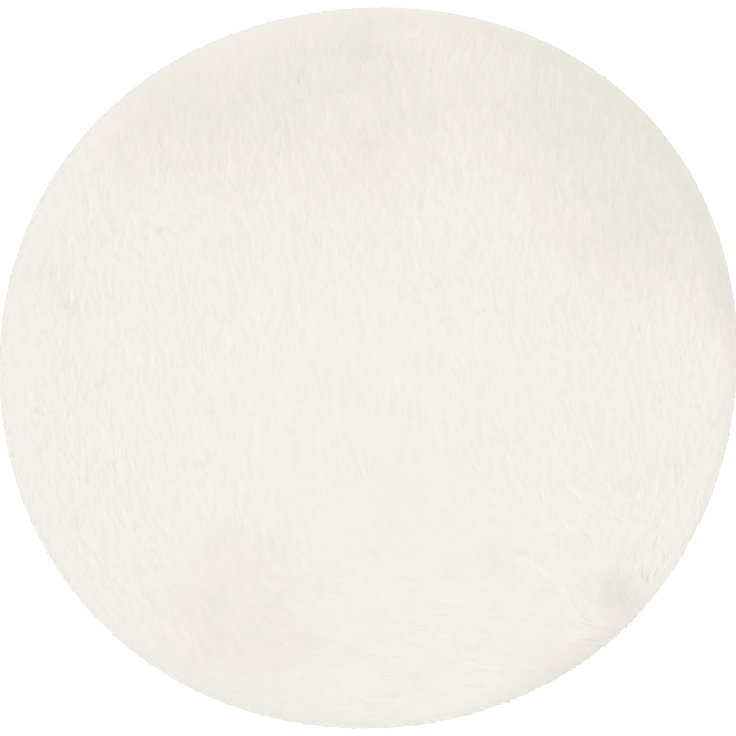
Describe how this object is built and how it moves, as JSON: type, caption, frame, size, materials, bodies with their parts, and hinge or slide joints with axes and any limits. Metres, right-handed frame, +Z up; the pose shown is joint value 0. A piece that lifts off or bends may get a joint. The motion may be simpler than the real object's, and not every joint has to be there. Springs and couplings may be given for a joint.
{
  "type": "faux sheepskin rug",
  "caption": "Round rug of long, combed faux fur that lies flat on a floor, with loose locks of pile over its rim.",
  "frame": {"origin": "on the floor, under the middle of the rug's box", "axes": "+Z up out of the pile, -Y the side that the pile is combed towards, +X to the right"},
  "size_m": [0.907, 0.885, 0.0297],
  "materials": {
    "faux_fur": "long soft off-white pile"
  },
  "bodies": {
    "root": {"fur_rug": "faux_fur"}
  },
  "joints": []
}
